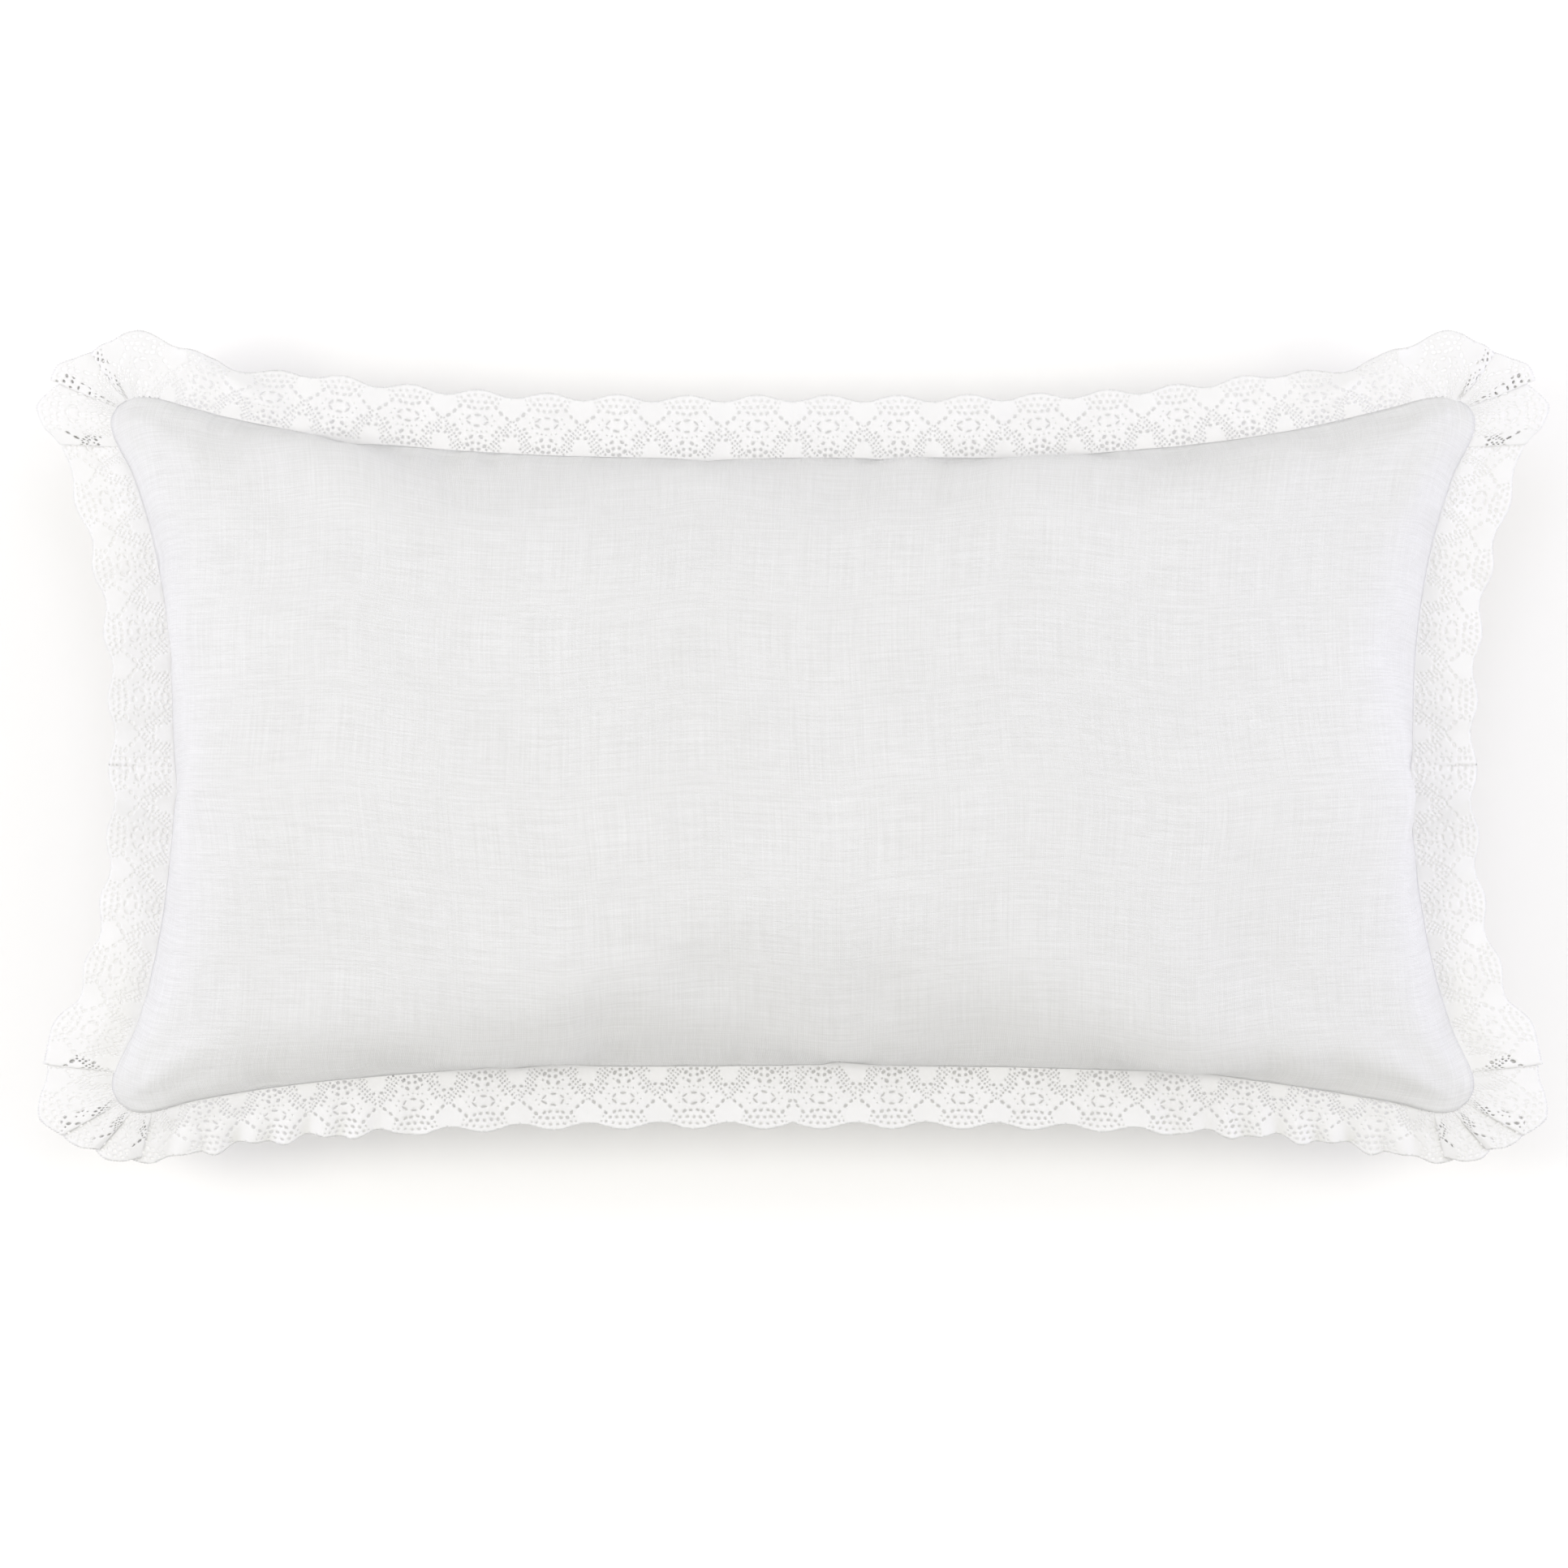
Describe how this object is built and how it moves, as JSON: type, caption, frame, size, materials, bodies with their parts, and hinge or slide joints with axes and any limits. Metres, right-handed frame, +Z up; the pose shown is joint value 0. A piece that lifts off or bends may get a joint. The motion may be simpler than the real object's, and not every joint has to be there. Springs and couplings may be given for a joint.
{
  "type": "lace-trimmed accent pillow",
  "caption": "Rectangular stuffed pillow in an off-white slub-weave cover with a gathered cotton lace edging, a zipped back and a removable fibre-filled insert.",
  "frame": {"origin": "on the surface the pillow lies on, under the middle of its bounding box", "axes": "+X along the long side, +Y towards the top edge of the face, +Z up out of the decorated face"},
  "size_m": [0.7176, 0.393, 0.134],
  "materials": {
    "cover_cloth": "slubbed plain weave, matt",
    "lace": "cotton bobbin-style lace, matt",
    "label_ribbon": "blank woven satin ribbon",
    "zipper_tape": "twill-woven tape",
    "zipper_coil": "nylon coil",
    "zipper_metal": "crimped metal",
    "slider_enamel": "off-white enamel",
    "insert_cloth": "plain white non-woven",
    "fibre_fill": "loose polyester fibre"
  },
  "bodies": {
    "pillow": {"front_panel": "cover_cloth", "back_panel_upper": "cover_cloth", "back_panel_lower": "cover_cloth", "lace_trim": "lace", "care_label": "label_ribbon", "zipper_tape_upper": "zipper_tape", "zipper_tape_lower": "zipper_tape", "zipper_coil_upper": "zipper_coil", "zipper_coil_lower": "zipper_coil", "zipper_top_stops": "zipper_metal", "zipper_bottom_stop": "zipper_metal", "insert_casing_front": "insert_cloth", "insert_casing_back": "insert_cloth", "insert_filling": "fibre_fill"},
    "slider": {"zipper_slider": "slider_enamel", "zipper_slider_bridge": "slider_enamel"},
    "pull": {"zipper_pull": "slider_enamel"}
  },
  "joints": [
    {"name": "slider_travel", "type": "hinge", "parent": "pillow", "child": "slider", "pos_m": [0, -0.124, 3.57318], "axis": [0, 1, 0], "range_deg": [0, 5.32]},
    {"name": "pull_swing", "type": "hinge", "parent": "slider", "child": "pull", "pos_m": [0.16403, -0.12562, 0.02189], "axis": [0.0304, 0.7513, -0.6592], "range_deg": [-85, 85]}
  ]
}
